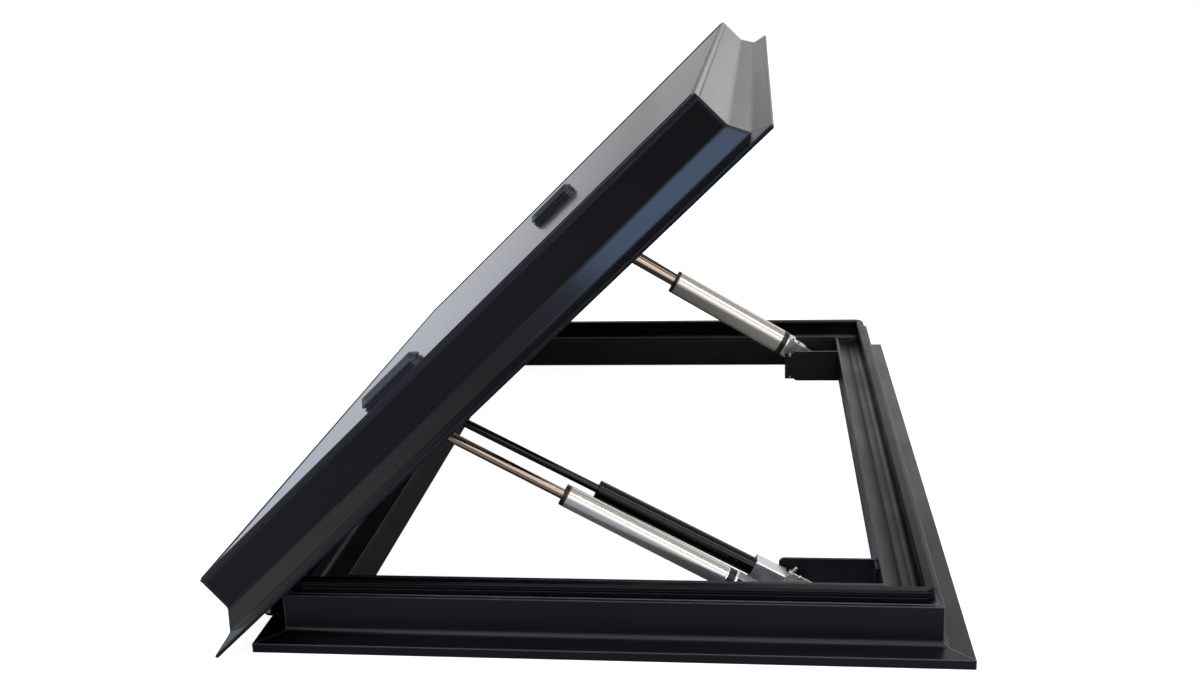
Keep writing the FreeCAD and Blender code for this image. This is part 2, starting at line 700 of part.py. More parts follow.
def build():
    """Make and write every node."""
    for side, body in curb_frame().items():
        export("curb_" + side, body)
    for side, body in sleeves().items():
        export("sleeve_" + side, body)
    export("rim_seal", rim_seal())
    export("base_hinge_leaf", base_hinge_leaf())
    half = HINGE_LENGTH / 2.0
    export("hinge_pin", round_bar(PIN_R, 0, HINGE_Z, -half, half))
    for side in ("near", "far"):
        export(side + "_pocket_plate", pocket_plate(side))

    struts = {name: strut_at(name) for name in STRUTS}
    near_act = struts["near_actuator"]
    near_gas = struts["near_gas"]
    far_act = struts["far_actuator"]
    far_gas = struts["far_gas"]
    near_reach = ACTUATORS["near_actuator"]["wide"] / 2.0 + PIN_STAND
    far_reach = ACTUATORS["far_actuator"]["wide"] / 2.0 + PIN_STAND
    gas_reach = GAS_BLOCK_W / 2.0 + PIN_STAND
    keeper_reach = GAS_BLOCK_W / 2.0 + KEEPER_STAND
    kept_pin = pivot_pin(near_gas, -PLATE_Y["near"], keeper_reach).fuse(keeper(near_gas))
    near_pins = [pivot_pin(near_act, -SLEEVE_FACE_Y, near_reach), kept_pin]
    far_pins = [pivot_pin(far_act, PLATE_Y["far"], far_reach), pivot_pin(far_gas, SLEEVE_FACE_Y, gas_reach)]
    export("near_pivot_pins", Part.makeCompound(near_pins))
    export("far_pivot_pins", Part.makeCompound(far_pins))

    for side, body in lid_skirts().items():
        export("lid_skirt_" + side, lid_local(body))
    for side, body in lid_rails().items():
        export("lid_rail_" + side, lid_local(body))
    export("top_glass", lid_local(top_glass()))
    ring = lid_slab(RAIL_IN_IN, PANE_UP + PANE_T, GLASS_BED)
    ring = ring.cut(lid_slab(RAIL_IN_IN + SPACER_W, PANE_UP, GLASS_BED + 1))
    export("glazing_spacer", lid_local(ring))
    export("inner_pane", lid_local(lid_slab(RAIL_IN_IN, PANE_UP, PANE_UP + PANE_T)))
    export("roof_pads", lid_local(Part.makeCompound([pad(place) for place in PADS])))
    export("lid_hinge_leaf", open_lid(lid_hinge_leaf()))
    for side, sign in (("near", -1.0), ("far", 1.0)):
        names = (side + "_actuator", side + "_gas")
        widths = [eye_width(name) for name in names]
        bracket = lid_bracket([struts[name] for name in names], widths, sign)
        export(side + "_lid_bracket", open_lid(bracket))

    for name, strut in struts.items():
        pieces = actuator(name, strut) if name in ACTUATORS else gas_strut(strut)
        for piece, shape in pieces.items():
            export(name + "_" + piece, place_strut(shape, strut))


build()
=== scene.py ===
import json
import logging
import math
from collections.abc import Iterable, Mapping, Sequence
from dataclasses import dataclass, field
from enum import Enum

import bmesh
import bpy
from mathutils import Matrix, Vector

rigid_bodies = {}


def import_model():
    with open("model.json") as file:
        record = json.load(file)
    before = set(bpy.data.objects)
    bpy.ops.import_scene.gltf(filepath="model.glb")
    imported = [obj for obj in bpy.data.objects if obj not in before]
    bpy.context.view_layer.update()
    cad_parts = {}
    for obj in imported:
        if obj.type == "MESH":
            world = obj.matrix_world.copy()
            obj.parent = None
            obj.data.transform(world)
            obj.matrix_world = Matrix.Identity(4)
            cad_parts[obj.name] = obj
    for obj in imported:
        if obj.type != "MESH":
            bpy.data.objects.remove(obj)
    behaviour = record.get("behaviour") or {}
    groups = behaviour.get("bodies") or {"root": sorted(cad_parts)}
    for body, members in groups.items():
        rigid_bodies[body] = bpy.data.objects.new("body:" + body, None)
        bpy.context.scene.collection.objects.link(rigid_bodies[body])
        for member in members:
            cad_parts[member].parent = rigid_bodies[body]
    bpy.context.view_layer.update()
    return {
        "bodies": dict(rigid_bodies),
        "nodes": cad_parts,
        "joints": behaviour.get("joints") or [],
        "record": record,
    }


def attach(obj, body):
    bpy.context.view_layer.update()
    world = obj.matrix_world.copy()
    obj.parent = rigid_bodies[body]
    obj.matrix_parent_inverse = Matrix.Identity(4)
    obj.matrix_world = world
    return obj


log = logging.getLogger("roof_skylight")

Socket = bpy.types.NodeSocket
Colour = tuple[float, float, float, float]

MM = 0.001
SIDES = ("near", "far", "hinge_side", "opening_side")

HINGE_AXIS_Z = 24.0
OPEN_DEG = 43.0
OPEN_TURN = (Matrix.Translation((0.0, 0.0, HINGE_AXIS_Z))
             @ Matrix.Rotation(math.radians(-OPEN_DEG), 4, "Y")
             @ Matrix.Translation((0.0, 0.0, -HINGE_AXIS_Z)))

WHITE: Colour = (1.0, 1.0, 1.0, 1.0)
GRAIN_DETAIL = 2.0
PATCH_DETAIL = 3.0
PATCH_RANGE = (0.3, 0.7)
BEVEL_SAMPLES = 4
# The mix node's sockets share their names, so they go by number.
MIX_VALUES = (2, 3)
MIX_COLOURS = (6, 7)
MIX_COLOUR_OUT = 2

BEVEL_SEGMENTS = 2
SHARP_DEG = 35.0
HEX_DEG = 60.0


class Axis(Enum):
    """A direction in the frame."""

    PLUS_X = (1.0, 0.0, 0.0)
    MINUS_X = (-1.0, 0.0, 0.0)
    PLUS_Y = (0.0, 1.0, 0.0)
    MINUS_Y = (0.0, -1.0, 0.0)
    MINUS_Z = (0.0, 0.0, -1.0)


class Ring(Enum):
    """Outline of one ring of a turned piece."""

    ROUND = "round"
    HEX = "hex"


Profile = Sequence[tuple[float, float, Ring]]


def linear(colour: str) -> Colour:
    """Turn an sRGB hex colour to linear.

    Args:
        colour: six hex digits with a leading hash.

    Returns:
        Linear red, green and blue, then an alpha of 1.
    """
    values = [int(colour[i:i + 2], 16) / 255.0 for i in (1, 3, 5)]
    red, green, blue = (
        v / 12.92 if v <= 0.04045 else ((v + 0.055) / 1.055) ** 2.4 for v in values)
    return (red, green, blue, 1.0)


def emptied(data: bpy.types.Material | bpy.types.World) -> bpy.types.NodeTree:
    """Node tree of a new material or world, with no node in it."""
    data.use_nodes = True
    data.node_tree.nodes.clear()
    return data.node_tree


def add(tree: bpy.types.NodeTree, kind: str, inputs: Mapping[str | int, object] | None = None,
        **settings: object) -> bpy.types.Node:
    """Add a node with its settings, values and links.

    Args:
        tree: the node tree it goes into.
        kind: Blender's name of the node type.
        inputs: value or output socket for each named or numbered input.
        **settings: properties of the node.

    Returns:
        The new node.
    """
    node = tree.nodes.new(kind)
    for name, value in settings.items():
        setattr(node, name, value)
    for name, value in (inputs or {}).items():
        if isinstance(value, bpy.types.NodeSocket):
            tree.links.new(value, node.inputs[name])
        else:
            node.inputs[name].default_value = value
    return node


def calculate(tree: bpy.types.NodeTree, operation: str, *values: float | Socket) -> Socket:
    """Result of a sum, a product or another operation on values."""
    return add(tree, "ShaderNodeMath", dict(enumerate(values)), operation=operation).outputs[0]


def blend(tree: bpy.types.NodeTree, share: Socket, first: Colour | Socket,
          second: Colour | Socket) -> Socket:
    """Colour between two others, the second where the share is 1."""
    mix = add(tree, "ShaderNodeMix", {0: share, MIX_COLOURS[0]: first, MIX_COLOURS[1]: second},
              data_type="RGBA")
    return mix.outputs[MIX_COLOUR_OUT]


def spread(tree: bpy.types.NodeTree, value: Socket, source: tuple[float, float],
           target: tuple[float | Socket, float] = (0.0, 1.0), curve: str = "LINEAR") -> Socket:
    """Carry a value from one range to another.

    Args:
        tree: the node tree.
        value: the value, held to its range.
        source: where the range starts and ends.
        target: what the two ends become.
        curve: how the result goes from one end to the other.

    Returns:
        The result's socket.
    """
    return add(tree, "ShaderNodeMapRange", {
        "Value": value, "From Min": source[0], "From Max": source[1],
        "To Min": target[0], "To Max": target[1]}, interpolation_type=curve).outputs["Result"]


def noise(tree: bpy.types.NodeTree, place: Socket, spacing_mm: float, detail: float) -> Socket:
    """Noise from 0 to 1 with its spots a distance apart."""
    return add(tree, "ShaderNodeTexNoise", {
        "Vector": place, "Scale": 1.0 / (spacing_mm * MM), "Detail": detail}).outputs["Fac"]


@dataclass(frozen=True)
class Finish:
    """What a surface is made of, shared by every finish here.

    Lengths are in mm: the radius of the real broken edge, the spacing and
    height of the surface's own grain and the size of its slow patches. Stretch
    draws the grain out, and lean turns it into line with a strut. The edge
    colour is a painted highlight along the corners, mixed in up to its share, and
    edge dull is the share of its gloss that is lost there. Both come in between
    two turns of the rounded normal from the flat one, given as the product of the two.
    """

    name: str
    colour: str
    roughness: float
    metallic: float = 0.0
    specular: float = 0.5
    edge_mm: float = 0.6
    grain_mm: float = 1.5
    relief_mm: float = 0.03
    patch_mm: float = 90.0
    patch_depth: float = 0.18
    stretch: float = 1.0
    lean_deg: float = 0.0
    highlight_colour: str = "#3A3A3C"
    highlight_share: float = 0.0
    highlight_turn: tuple[float, float] = (0.995, 0.86)
    edge_dull: float = 0.0
    dull_turn: tuple[float, float] = (0.99, 0.93)

    def sockets(self) -> dict[str | int, object]:
        """Values set on the shader itself."""
        return {"Metallic": self.metallic, "Specular IOR Level": self.specular}

    def tone(self, tree: bpy.types.NodeTree, patches: Socket) -> Socket:
        """Colour with slow variation over the surface.

        Args:
            tree: the material's node tree.
            patches: slow noise from 0 to 1.

        Returns:
            The colour socket.
        """
        *shares, alpha = linear(self.colour)
        low, high = ((*(min(1.0, c * (1.0 + depth)) for c in shares), alpha)
                     for depth in (-self.patch_depth, self.patch_depth))
        return blend(tree, patches, low, high)

    def with_painted_highlight(self, tree: bpy.types.NodeTree, tone: Socket, turn: Socket) -> Socket:
        """Colour with a painted highlight along the corners.

        Args:
            tree: the material's node tree.
            tone: colour away from the corners.
            turn: how far the rounded normal agrees with the flat one.

        Returns:
            The colour socket.
        """
        # Painted highlight: the edge colour mixed in where the rounded normal turns from the flat
        # one.
        near = spread(tree, turn, self.highlight_turn, (0.0, self.highlight_share))
        return blend(tree, near, tone, linear(self.highlight_colour))

    def build(self) -> bpy.types.Material:
        """Make the material.

        Returns:
            The new material.
        """
        material = bpy.data.materials.new(self.name)
        tree = emptied(material)
        place = add(tree, "ShaderNodeTexCoord").outputs["Object"]
        turned = add(tree, "ShaderNodeMapping", {
            "Vector": place,
            "Rotation": (0.0, -math.radians(self.lean_deg), 0.0),
            "Scale": (self.stretch, 1.0, 1.0)}, vector_type="TEXTURE").outputs["Vector"]
        grain = noise(tree, turned, self.grain_mm, GRAIN_DETAIL)
        patches = noise(tree, place, self.patch_mm, PATCH_DETAIL)
        rough = spread(tree, patches, PATCH_RANGE, (
            self.roughness * (1.0 - self.patch_depth),
            min(1.0, self.roughness * (1.0 + self.patch_depth))))
        edge = add(tree, "ShaderNodeBevel", {"Radius": self.edge_mm * MM},
                   samples=BEVEL_SAMPLES).outputs["Normal"]
        bump = add(tree, "ShaderNodeBump", {
            "Strength": 1.0, "Distance": self.relief_mm * MM,
            "Height": grain, "Normal": edge}).outputs["Normal"]
        flat = add(tree, "ShaderNodeNewGeometry").outputs["Normal"]
        turn = add(tree, "ShaderNodeVectorMath", {0: edge, 1: flat},
                   operation="DOT_PRODUCT").outputs["Value"]
        tone = self.tone(tree, patches)
        # Painted highlight along the corners, where a finish asks for one.
        if self.highlight_share:
            tone = self.with_painted_highlight(tree, tone, turn)
        sockets = self.sockets()
        if self.edge_dull:
            sockets["Specular IOR Level"] = spread(tree, turn, self.dull_turn, (
                self.specular, self.specular * (1.0 - self.edge_dull)))
        sockets.update({"Base Color": tone, "Roughness": rough, "Normal": bump})
        shader = add(tree, "ShaderNodeBsdfPrincipled", sockets)
        add(tree, "ShaderNodeOutputMaterial", {"Surface": shader.outputs["BSDF"]})
        return material


@dataclass(frozen=True)
class PowderCoat(Finish):
    """Polyester powder coat, baked on aluminium: fine orange peel under a satin sheen."""


@dataclass(frozen=True)
class WetPaint(Finish):
    """Sprayed two-pack gloss paint: a smooth film with a faint long orange peel."""


@dataclass(frozen=True)
class MouldedRubber(Finish):
    """Extruded EPDM rubber: matte, with a slight bloom that greys it in patches."""


@dataclass(frozen=True)
class DrawnMetal(Finish):
    """Drawn or brushed metal: fine lines along its length widen the highlight."""


@dataclass(frozen=True)
class TurnedMetal(Finish):
    """Milled or turned metal: short tool marks and a soft sheen."""


@dataclass(frozen=True)
class PlatedPin(TurnedMetal):
    """Bare turned pins on powder-coated foot plates, told apart by their place along Y in mm."""

    plates: tuple[tuple[float, float], ...] = ()
    plate_colour: str = "#08080A"

    def tone(self, tree: bpy.types.NodeTree, patches: Socket) -> Socket:
        """Colour of the bare metal, with the coating's on the plates."""
        shown = super().tone(tree, patches)
        place = add(tree, "ShaderNodeNewGeometry").outputs["Position"]
        along = add(tree, "ShaderNodeSeparateXYZ", {0: place}).outputs["Y"]
        for low, high in self.plates:
            middle, reach = (low + high) / 2.0 * MM, (high - low) / 2.0 * MM
            on_plate = calculate(tree, "COMPARE", along, middle, reach)
            shown = blend(tree, on_plate, shown, linear(self.plate_colour))
        return shown


@dataclass(frozen=True)
class MouldedPlastic(Finish):
    """Injection-moulded plastic: an even spark-eroded grain."""


@dataclass(frozen=True)
class TintedGlass(Finish):
    """Body-tinted float glass: flat and glossy, its depth nearly black."""

    see_through: float = 0.0
    refraction: float = 1.52

    def sockets(self) -> dict[str | int, object]:
        """Values set on the shader itself."""
        values = super().sockets()
        values.update({"Transmission Weight": self.see_through, "IOR": self.refraction})
        return values


class Finishes:
    """Every finish of the skylight, each made once.

    Grain sizes are the real spacing, drawn two to three times as coarse where
    the real one would be finer than a pixel.
    """

    # Its pale edge colour is a painted highlight along the extrusion's corners.
    curb = PowderCoat(
        "powder_coated_curb_extrusion", "#111214", 0.36, specular=0.22, grain_mm=2.2,
        relief_mm=0.02, edge_mm=1.2, highlight_colour="#B4B4BA", highlight_share=0.85)
    # Its pale edge colour is a painted highlight along the sleeve's edges and hems.
    sleeve = PowderCoat(
        "powder_coated_sleeve_sheet", "#26282B", 0.38, specular=0.22, grain_mm=2.2,
        relief_mm=0.02, edge_mm=0.9, highlight_colour="#BAB6B2", highlight_share=0.85)
    hinge = PowderCoat(
        "powder_coated_hinge_leaf", "#0F1011", 0.36, specular=0.2, grain_mm=1.8, relief_mm=0.02)
    # Its grey edge colour is a painted highlight along the plate's edges.
    plate = PowderCoat(
        "powder_coated_bent_plate", "#1B1C1F", 0.36, specular=0.2, grain_mm=2.0,
        relief_mm=0.02, edge_mm=0.9, highlight_colour="#6E6E74", highlight_share=0.7)
    rail = PowderCoat(
        "powder_coated_lid_rail", "#101113", 0.38, specular=0.2, grain_mm=2.2, relief_mm=0.02)
    # Its blue-grey edge colour is a painted highlight along the lip and corners.
    skirt = WetPaint(
        "gloss_black_skirt_paint", "#0A0B0D", 0.13, specular=0.21, grain_mm=12.0,
        relief_mm=0.001, patch_depth=0.1, edge_mm=4.0, highlight_colour="#8E939C", highlight_share=0.4,
        highlight_turn=(0.88, 0.78), edge_dull=0.95)
    # Its grey edge colour is a painted highlight along the seal's beads.
    seal = MouldedRubber(
        "epdm_rim_seal", "#0A0A0B", 0.3, specular=0.07, grain_mm=0.8, relief_mm=0.006,
        patch_mm=40.0, patch_depth=0.15, edge_mm=0.7, highlight_colour="#8A8A90", highlight_share=0.4)
    # Its blue-grey edge colour is a painted highlight along the glass's edge.
    glass = TintedGlass(
        "grey_tinted_top_glass", "#08090B", 0.07, specular=0.4, grain_mm=30.0, relief_mm=0.004,
        patch_mm=220.0, patch_depth=0.12, highlight_colour="#4A5460", highlight_share=0.6, edge_mm=1.2)
    pane = TintedGlass(
        "grey_tinted_inner_pane", "#3A3E42", 0.03, specular=0.4, grain_mm=40.0,
        relief_mm=0.002, see_through=0.6)
    spacer = DrawnMetal("black_anodised_spacer", "#2A2B2D", 0.4, metallic=1.0, grain_mm=1.2)
    bead = MouldedRubber(
        "silicone_glazing_bead", "#0E0F12", 0.4, specular=0.3, grain_mm=1.2, relief_mm=0.02)
    pad = MouldedPlastic(
        "moulded_abs_pad", "#141923", 0.3, specular=0.45, grain_mm=0.9, relief_mm=0.02)
    collar = MouldedPlastic(
        "moulded_nylon_collar", "#0C0C0D", 0.4, specular=0.35, grain_mm=0.8, relief_mm=0.02)
    foot = TurnedMetal(
        "milled_aluminium_foot", "#CFCCCA", 0.36, metallic=0.72, grain_mm=0.9,
        relief_mm=0.012, patch_mm=18.0)
    # The foot's aluminium again in a darker grey, for the near actuator's foot.
    darker_foot = TurnedMetal(
        "darker_aluminium_foot", "#6E6E73", 0.36, metallic=0.9, grain_mm=0.9,
        relief_mm=0.01)
    eye = TurnedMetal(
        "turned_steel_rod_eye", "#A9A6A2", 0.3, metallic=1.0, grain_mm=0.9, relief_mm=0.01)
    pin = TurnedMetal(
        "turned_stainless_pin", "#BFB5AA", 0.28, metallic=0.85, grain_mm=0.8, relief_mm=0.01)
    base_pin = PlatedPin(
        "turned_pin_on_coated_foot_plate", "#DDD3C8", 0.34, metallic=0.45, grain_mm=0.8,
        relief_mm=0.01,
        plates=((-422.4, -418.7), (-358.3, -354.7), (344.7, 348.3), (418.7, 422.4)))
    screw = TurnedMetal(
        "zinc_plated_screw", "#A8A7A2", 0.3, metallic=1.0, grain_mm=0.8, relief_mm=0.01)
    brass = TurnedMetal(
        "yellow_passivated_screw", "#B4A688", 0.34, metallic=1.0, grain_mm=0.8, relief_mm=0.01)
    set_screw = TurnedMetal(
        "black_oxide_set_screw", "#1A1918", 0.4, metallic=1.0, grain_mm=0.6, relief_mm=0.01)
    ring = TurnedMetal(
        "bright_chromed_ring", "#DADADA", 0.12, metallic=1.0, grain_mm=1.5, relief_mm=0.004)
    gas_tube = WetPaint(
        "gloss_black_enamel_tube", "#060607", 0.09, specular=0.2, grain_mm=6.0,
        relief_mm=0.001, edge_mm=2.0)
    gas_rod = TurnedMetal(
        "black_nitrided_rod", "#08080A", 0.1, specular=0.25, grain_mm=2.0, relief_mm=0.001,
        edge_mm=1.2)
    made: dict[str, bpy.types.Material] = {}

    @staticmethod
    def tube(lean_deg: float) -> Finish:
        """Satin anodised aluminium tube, its draw lines along the strut."""
        return DrawnMetal(
            "satin_anodised_tube", "#CAC6C0", 0.22, metallic=0.64, grain_mm=2.5,
            relief_mm=0.0004, stretch=60.0, lean_deg=lean_deg, patch_depth=0.03, edge_mm=2.5)

    @staticmethod
    def rod(lean_deg: float) -> Finish:
        """Ground and polished stainless rod."""
        return DrawnMetal(
            "polished_stainless_rod", "#8F8074", 0.12, metallic=1.0, grain_mm=1.6,
            relief_mm=0.0006, stretch=60.0, lean_deg=lean_deg, patch_depth=0.06, edge_mm=1.5)

    @classmethod
    def get(cls, finish: Finish) -> bpy.types.Material:
        """The material of a finish, made the first time it is asked for."""
        key = f"{finish.name}_{finish.lean_deg:.2f}"
        if key not in cls.made:
            cls.made[key] = finish.build()
        return cls.made[key]


def dress(frame: Mapping[str, dict], nodes: Iterable[str], finish: Finish) -> None:
    """Give CAD nodes a finish.

    Args:
        nodes: names of the nodes.
        finish: the finish.
    """
    for name in nodes:
        part = frame["nodes"][name]
        for place in part.material_slots:
            place.material = Finishes.get(finish)
        log.info("dressed %s in %s", name, finish.name)


def opened(point: Sequence[float]) -> Vector:
    """Where a point of the closed lid is with the lid open, in mm."""
    return OPEN_TURN @ Vector(point)


def facing(point: Sequence[float], direction: Sequence[float]) -> Matrix:
    """Place with local Z along a direction.

    Args:
        point: the origin in mm.
        direction: where local Z points.

    Returns:
        The placing matrix in mm.
    """
    turn = Vector(direction).to_track_quat("Z", "Y").to_matrix().to_4x4()
    return Matrix.Translation(Vector(point)) @ turn


@dataclass
class Workpiece:
    """A mesh in the making, in mm."""

    name: str
    mesh: bmesh.types.BMesh = field(default_factory=bmesh.new)

    def ring(self, corners: Iterable[Sequence[float]], place: Matrix) -> list[bmesh.types.BMVert]:
        """One ring of corners, put in place."""
        return [self.mesh.verts.new(place @ Vector(corner)) for corner in corners]

    def bridge(self, rings: Sequence[list[bmesh.types.BMVert]]) -> None:
        """Faces from each ring to the next."""
        for low, high in zip(rings, rings[1:]):
            for i in range(len(low)):
                j = (i + 1) % len(low)
                self.mesh.faces.new((low[i], low[j], high[j], high[i]))

    def close(self, rings: Sequence[list[bmesh.types.BMVert]]) -> None:
        """Faces across the first and the last ring."""
        self.mesh.faces.new(list(reversed(rings[0])))
        self.mesh.faces.new(rings[-1])

    def turn(self, profile: Profile, place: Matrix, steps: int = 24) -> None:
        """Join rings of a profile round local Z, closed at both ends.

        Args:
            profile: radius, height and outline of each ring.
            place: where the piece goes.
            steps: corners of a ring, a multiple of six.
        """
        half_side = math.radians(HEX_DEG / 2.0)
        rings = []
        for radius, height, outline in profile:
            corners = []
            for i in range(steps):
                angle = math.tau * i / steps
                reach = radius
                if outline is Ring.HEX:
                    off = (angle % math.radians(HEX_DEG)) - half_side
                    reach = radius * math.cos(half_side) / math.cos(off)
                corners.append((reach * math.cos(angle), reach * math.sin(angle), height))
            rings.append(self.ring(corners, place))
        self.bridge(rings)
        self.close(rings)

    def slab(self, half: tuple[float, float], low: float, high: float, place: Matrix) -> None:
        """Raise a rectangle between two heights.

        Args:
            half: half its size along local X and Y.
            low: lower height.
            high: upper height.
            place: where the piece goes.
        """
        x, y = half
        rings = [self.ring(((-x, -y, z), (x, -y, z), (x, y, z), (-x, y, z)), place)
                 for z in (low, high)]
        self.bridge(rings)
        self.close(rings)

    def finished(self, body: str, finish: Finish, edge_mm: float = 0.0) -> None:
        """Turn the mesh into an object that rides on a body.

        Args:
            body: CAD body that carries it.
            finish: its finish.
            edge_mm: width of a bevel on its sharp edges, or 0.
        """
        bmesh.ops.scale(self.mesh, vec=(MM, MM, MM), verts=self.mesh.verts)
        bmesh.ops.recalc_face_normals(self.mesh, faces=self.mesh.faces)
        data = bpy.data.meshes.new(self.name)
        self.mesh.to_mesh(data)
        self.mesh.free()
        for polygon in data.polygons:
            polygon.use_smooth = True
        piece = bpy.data.objects.new(self.name, data)
        bpy.context.scene.collection.objects.link(piece)
        if edge_mm:
            bevel = piece.modifiers.new("broken_edges", "BEVEL")
            bevel.width = edge_mm * MM
            bevel.segments = BEVEL_SEGMENTS
            bevel.limit_method = "ANGLE"
        data.set_sharp_from_angle(angle=math.radians(SHARP_DEG))
        data.materials.append(Finishes.get(finish))
        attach(piece, body)
        log.info("made %s on %s", self.name, body)


@dataclass(frozen=True)
class PanHead:
    """Low pan head with a hex socket, seated at height 0, in mm.

    Wall, shoulder, crown and pit are shares of the radius and the height.
    """

    radius: float
    height: float
    socket: float
    sunk: float = 0.4
    wall: float = 0.45
    shoulder: tuple[float, float] = (0.86, 0.85)
    crown: float = 0.66
    pit: tuple[float, float] = (0.96, 0.25)

    def profile(self) -> Profile:
        """Rings up the outside and down into the socket."""
        return [
            (self.radius, -self.sunk, Ring.ROUND),
            (self.radius, self.height * self.wall, Ring.ROUND),
            (self.radius * self.shoulder[0], self.height * self.shoulder[1], Ring.ROUND),
            (self.radius * self.crown, self.height, Ring.ROUND),
            (self.socket, self.height, Ring.HEX),
            (self.socket * self.pit[0], self.height * self.pit[1], Ring.HEX),
        ]


@dataclass(frozen=True)
class FlushHead:
    """Countersunk head, barely proud, with a hex socket, in mm.

    Cone, face and pit are a share of the radius and a height.
    """

    radius: float
    socket: float
    cone: tuple[float, float] = (0.8, -0.6)
    rim_up: float = 0.05
    face: tuple[float, float] = (0.96, 0.3)
    pit: tuple[float, float] = (0.94, -0.5)

    def profile(self) -> Profile:
        """Rings up the cone and down into the socket."""
        return [
            (self.radius * self.cone[0], self.cone[1], Ring.ROUND),
            (self.radius, self.rim_up, Ring.ROUND),
            (self.radius * self.face[0], self.face[1], Ring.ROUND),
            (self.socket, self.face[1], Ring.HEX),
            (self.socket * self.pit[0], self.pit[1], Ring.HEX),
        ]


@dataclass(frozen=True)
class HexNut:
    """Hex nut with chamfered corners round a stud, in mm.

    Flats, chamfer and pit are shares of the height, the radius and the height.
    """

    radius: float
    height: float
    bore: float
    flats: float = 0.8
    chamfer: float = 0.9
    pit: float = 0.6

    def profile(self) -> Profile:
        """Rings up the flats, over the chamfer and down into the bore."""
        return [
            (self.radius, 0.0, Ring.HEX),
            (self.radius, self.height * self.flats, Ring.HEX),
            (self.radius * self.chamfer, self.height, Ring.ROUND),
            (self.bore, self.height, Ring.ROUND),
            (self.bore, self.height * self.pit, Ring.ROUND),
        ]


@dataclass
class CurbFrame:
    """Fixed frame: curb extrusions, inner sleeve, rim seal."""

    sides: tuple[str, ...] = SIDES

    def build(self, frame: Mapping[str, dict]) -> None:
        """Dress the fixed frame."""
        dress(frame, [f"curb_{side}" for side in self.sides], Finishes.curb)
        dress(frame, [f"sleeve_{side}" for side in self.sides], Finishes.sleeve)
        dress(frame, ["rim_seal"], Finishes.seal)


@dataclass
class Hinge:
    """Long hinge and its two rows of countersunk screws."""

    length: float = 920.0
    screws: int = 11
    end_gap: float = 26.0
    head: FlushHead = FlushHead(3.6, 1.6)
    base_face_x: float = 19.5
    base_row_z: float = 37.0
    lid_face_x: float = -0.2
    lid_row_z: float = 52.0

    def rows(self) -> list[float]:
        """Y of each screw."""
        run = self.length - 2.0 * self.end_gap
        return [-run / 2.0 + run * i / (self.screws - 1) for i in range(self.screws)]

    def build(self, frame: Mapping[str, dict]) -> None:
        """Dress the leaves and add their screws."""
        dress(frame, ["base_hinge_leaf", "lid_hinge_leaf"], Finishes.hinge)
        dress(frame, ["hinge_pin"], Finishes.pin)
        fixed = Workpiece("base_hinge_screws")
        moving = Workpiece("lid_hinge_screws")
        profile = self.head.profile()
        for y in self.rows():
            base_place = facing((self.base_face_x, y, self.base_row_z), Axis.MINUS_X.value)
            lid_place = facing((self.lid_face_x, y, self.lid_row_z), Axis.PLUS_X.value)
            fixed.turn(profile, base_place)
            moving.turn(profile, OPEN_TURN @ lid_place)
        fixed.finished("base", Finishes.screw)
        moving.finished("lid", Finishes.screw)


@dataclass
class Lid:
    """Glazed lid: skirts, rails, panes, spacer, pads, and the bead round the top glass, in mm."""

    sides: tuple[str, ...] = SIDES
    x0: float = -37.2
    length: float = 743.0
    width: float = 1042.0
    glass_in: float = 31.0
    glass_top: float = 96.7
    end_gap: float = 2.5
    bead_in: float = 0.2
    bead_w: float = 1.8
    bead_h: float = 1.0
    bead_sunk: float = 0.2
    bead_side: float = 0.6
    bead_round: float = 0.3

    def build(self, frame: Mapping[str, dict]) -> None:
        """Dress the lid."""
        dress(frame, [f"lid_skirt_{side}" for side in self.sides], Finishes.skirt)
        dress(frame, [f"lid_rail_{side}" for side in self.sides], Finishes.rail)
        dress(frame, ["top_glass"], Finishes.glass)
        dress(frame, ["inner_pane"], Finishes.pane)
        dress(frame, ["glazing_spacer"], Finishes.spacer)
        dress(frame, ["roof_pads"], Finishes.pad)
        self.bead()

    def bead_section(self) -> list[tuple[float, float]]:
        """How far in from the glass's edge and how far up each corner of the bead lies."""
        outer, inner = self.bead_in, self.bead_in + self.bead_w
        side = self.bead_h * self.bead_side
        corner = self.bead_w * self.bead_round
        return [(outer, -self.bead_sunk), (outer, side), (outer + corner, self.bead_h),
                (inner - corner, self.bead_h), (inner, side), (inner, -self.bead_sunk)]

    def bead(self) -> None:
        """Low rubber bead along the edge of the glass, a little further in at the long sides."""
        x0 = self.x0 + self.glass_in + self.end_gap
        x1 = self.x0 + self.length - self.glass_in - self.end_gap
        half = self.width / 2.0 - self.glass_in
        piece = Workpiece("glass_edge_bead")
        rings = []
        for inset, up in self.bead_section():
            z = self.glass_top + up
            rings.append(piece.ring((
                (x0 + inset, -half + inset, z), (x1 - inset, -half + inset, z),
                (x1 - inset, half - inset, z), (x0 + inset, half - inset, z)), OPEN_TURN))
        piece.bridge(rings + rings[:1])
        piece.finished("lid", Finishes.bead)


@dataclass
class StrutPlace:
    """Where a strut stands: its Y, then X and Z of the base pivot and the closed lid's, in mm."""

    y: float
    base: tuple[float, float]
    lid: tuple[float, float]

    def from_base(self, dx: float, dy: float, dz: float) -> Vector:
        """Point a step away from the base pivot."""
        return Vector((self.base[0] + dx, self.y + dy, self.base[1] + dz))

    def slope(self) -> float:
        """Angle of the strut above +X with the lid open, in radians."""
        top = opened((self.lid[0], self.y, self.lid[1]))
        return math.atan2(top.z - self.base[1], top.x - self.base[0])

    def along(self) -> Matrix:
        """Place at the base pivot with local Z along the strut, in mm."""
        return (Matrix.Translation(self.from_base(0.0, 0.0, 0.0))
                @ Matrix.Rotation(-self.slope(), 4, "Y")
                @ Matrix.Rotation(math.radians(90.0), 4, "Y"))


